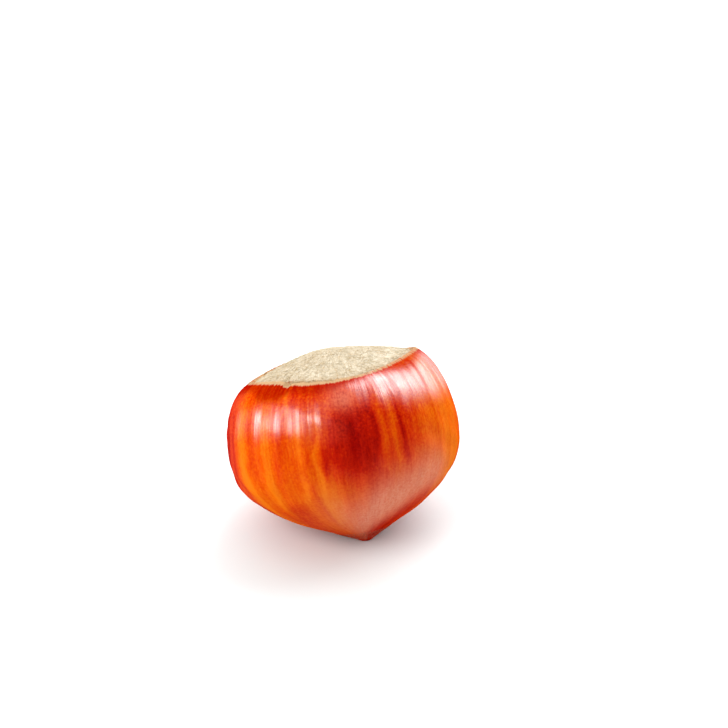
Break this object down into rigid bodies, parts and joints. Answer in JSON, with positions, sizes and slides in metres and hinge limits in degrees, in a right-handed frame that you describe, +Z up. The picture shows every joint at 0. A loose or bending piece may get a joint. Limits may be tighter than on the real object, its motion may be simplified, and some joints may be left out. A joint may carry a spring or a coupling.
{
  "type": "hazelnut",
  "caption": "Whole hazelnut in its shell: a rounded, ribbed nut with a blunt point and a pale fibrous scar, lying on its flank.",
  "frame": {"origin": "middle of the footprint, on the surface that the nut lies on", "axes": "+Z up, +X across the nut's widest way, the point looks towards -Y and the scar leans back towards +Y"},
  "size_m": [0.022, 0.0212, 0.0182],
  "materials": {
    "nutshell": "satin woody nutshell, orange brown with darker streaks, paling to a matt fibrous scar"
  },
  "bodies": {
    "root": {"hazelnut": "nutshell"}
  },
  "joints": []
}
